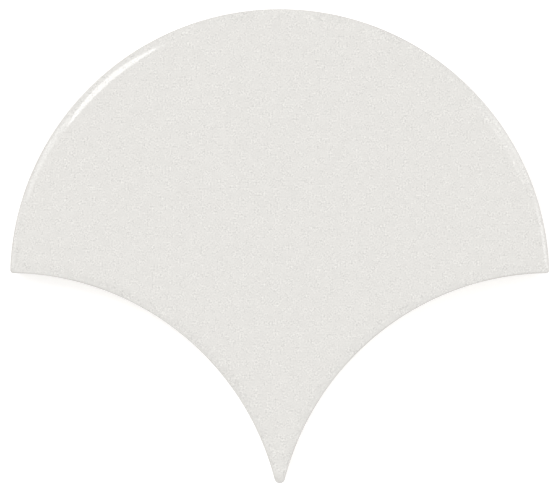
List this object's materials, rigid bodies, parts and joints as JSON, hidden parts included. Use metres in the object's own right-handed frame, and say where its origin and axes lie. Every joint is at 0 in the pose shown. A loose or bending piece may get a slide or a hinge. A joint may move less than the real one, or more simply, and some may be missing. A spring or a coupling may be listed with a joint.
{
  "type": "fish scale tile",
  "caption": "Glossy off-white ceramic wall tile shaped like a fish scale, with a round head, two hollow flanks that take the next row's heads, a cushioned rim and a keyed back.",
  "frame": {"origin": "centre of the round head's arc, on the back face", "axes": "+X across the tile, +Y to the crown of the round head, +Z out of the glazed face"},
  "size_m": [0.12, 0.1055, 0.009],
  "materials": {
    "glaze": "gloss"
  },
  "bodies": {
    "root": {"tile": "glaze"}
  },
  "joints": []
}
